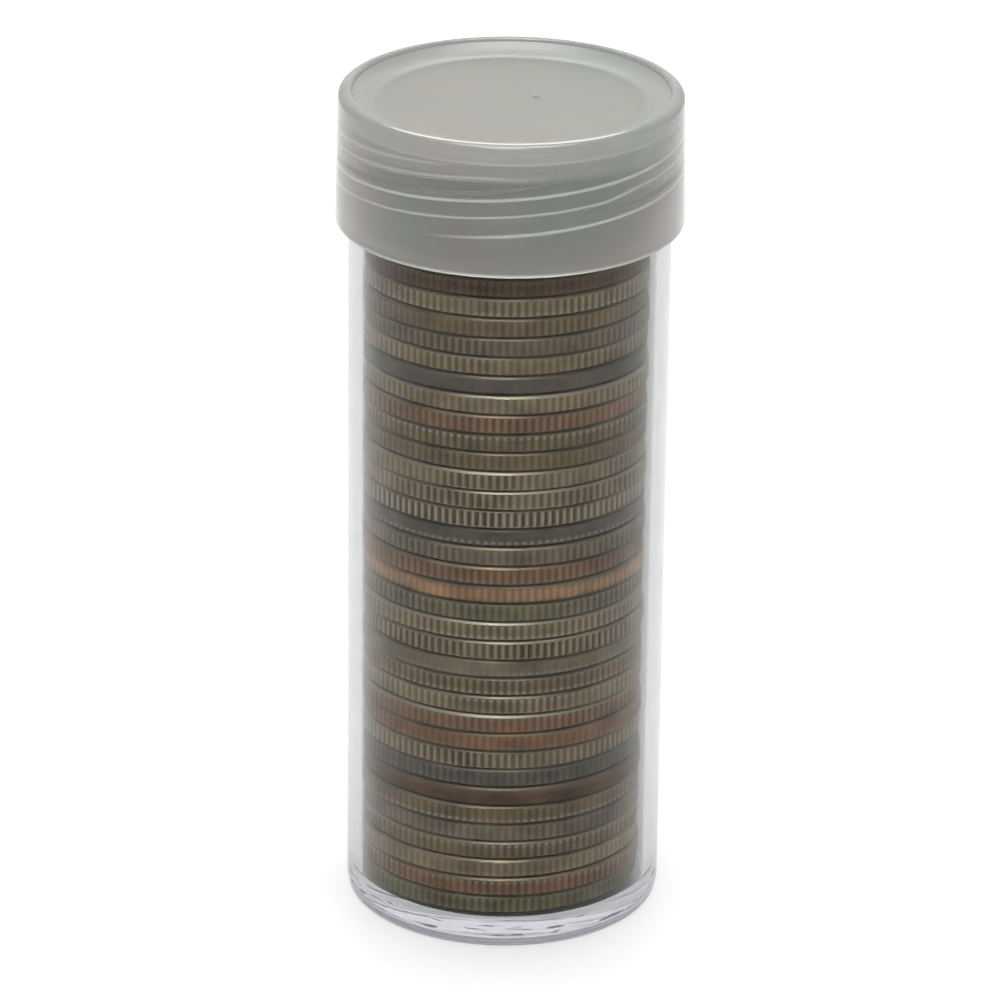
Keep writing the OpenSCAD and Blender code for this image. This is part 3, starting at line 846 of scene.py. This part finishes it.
class COINTUBE_OT_stage(bpy.types.Operator):
    """Set up the floor, the softboxes and the camera"""
    bl_idname = "cointube.stage"
    bl_label = "Stage"

    def execute(self, context):
        scene = context.scene
        look = scene.coin_tube_stage
        half = 1.6                 # metres from the middle of the floor to its sides
        mesh = bpy.data.meshes.new("floor")
        mesh.from_pydata([(-half, -half, 0), (half, -half, 0), (half, half, 0), (-half, half, 0)],
                         [], [(0, 1, 2, 3)])
        mesh.materials.append(paper_floor(look.floor))
        new_piece("floor", mesh)

        # A white tent, brighter round the horizon than overhead: it changes over from 24 to 44
        # degrees up, whose sines are 0.4 and 0.7
        world = bpy.data.worlds.new("even_light")
        world.use_nodes = True
        tree = world.node_tree
        background = tree.nodes["Background"].inputs
        background["Color"].default_value = (1, 1, 1, 1)
        place = add(tree, "ShaderNodeTexCoord").outputs["Generated"]
        up = add(tree, "ShaderNodeSeparateXYZ", {0: place}).outputs[2]
        level = add(tree, "ShaderNodeMapRange", {"Value": up, "From Min": 0.7, "From Max": 0.4,
                                                 "To Min": look.sky, "To Max": look.horizon})
        tree.links.new(level.outputs[0], background["Strength"])
        scene.world = world

        # Softboxes: where each stands, how wide and deep it is, and its power
        aim = Vector((0, 0, 37 * MM))
        for name, place, wide, deep, watts in (
                ("overhead_softbox", (0.0, 0.05, 0.9), 0.5, 0.5, look.key),
                ("front_softbox", (-0.04, -0.34, 0.76), 0.25, 0.16, look.front),
                ("back_softbox", (0.0, 0.42, 0.42), 0.2, 0.1, look.rim)):
            lamp = bpy.data.lights.new(name, "AREA")
            lamp.shape, lamp.size, lamp.size_y, lamp.energy = "RECTANGLE", wide, deep, watts
            holder = bpy.data.objects.new(name, lamp)
            holder.location = place
            holder.rotation_euler = (aim - Vector(place)).to_track_quat("-Z", "Y").to_euler()
            scene.collection.objects.link(holder)

        # The photograph's view: a long lens, 23 degrees down, measured from the coins' edges
        lens = bpy.data.cameras.new("camera")
        lens.sensor_width, lens.lens = 36.0, 201.2
        lens.clip_start, lens.clip_end = 0.01, 10
        camera = bpy.data.objects.new("camera", lens)
        pitch, yaw, roll = 0.402, 0.0097, 0.012
        ahead = Vector((math.sin(yaw) * math.cos(pitch), math.cos(yaw) * math.cos(pitch),
                        -math.sin(pitch)))
        right = ahead.cross(Vector((0, 0, 1))).normalized()
        up = right.cross(ahead)
        turned_right = right * math.cos(roll) + up * math.sin(roll)
        turned_up = up * math.cos(roll) - right * math.sin(roll)
        axes = Matrix((turned_right, turned_up, -ahead)).transposed()
        place = Matrix.Translation((-4.88 * MM, -445.07 * MM, 225.57 * MM))
        camera.matrix_world = place @ axes.to_4x4()
        scene.collection.objects.link(camera)
        scene.camera = camera
        scene.view_settings.view_transform = "Standard"
        return {"FINISHED"}


class COINTUBE_PT_panel(bpy.types.Panel):
    """Sizes and steps of the coin tube"""
    bl_idname = "COINTUBE_PT_panel"
    bl_label = "Coin Tube"
    bl_space_type = "VIEW_3D"
    bl_region_type = "UI"
    bl_category = "Coin Tube"

    def draw(self, context):
        for settings, operator in SETTINGS:
            box = self.layout.box()
            if operator:
                box.operator(operator)
            group = getattr(context.scene, settings)
            for name in group.__annotations__:
                box.prop(group, name)


SETTINGS = (("coin_tube_tube", "cointube.tube"), ("coin_tube_thread", None),
            ("coin_tube_coin", "cointube.coins"), ("coin_tube_cap", "cointube.cap"),
            ("coin_tube_stage", "cointube.stage"))
GROUPS = (TubeSettings, ThreadSettings, CoinSettings, CapSettings, StageSettings)
CLASSES = GROUPS + (COINTUBE_OT_tube, COINTUBE_OT_coins, COINTUBE_OT_cap, COINTUBE_OT_stage,
                    COINTUBE_PT_panel)


def register():
    for cls in CLASSES:
        bpy.utils.register_class(cls)
    for (settings, _), group in zip(SETTINGS, GROUPS):
        setattr(bpy.types.Scene, settings, PointerProperty(type=group))


def unregister():
    for settings, _ in SETTINGS:
        delattr(bpy.types.Scene, settings)
    for cls in reversed(CLASSES):
        bpy.utils.unregister_class(cls)


def main():
    register()
    bpy.ops.cointube.stage()
    bpy.ops.cointube.tube()
    bpy.ops.cointube.coins()
    bpy.ops.cointube.cap()


if __name__ == "__main__":
    main()
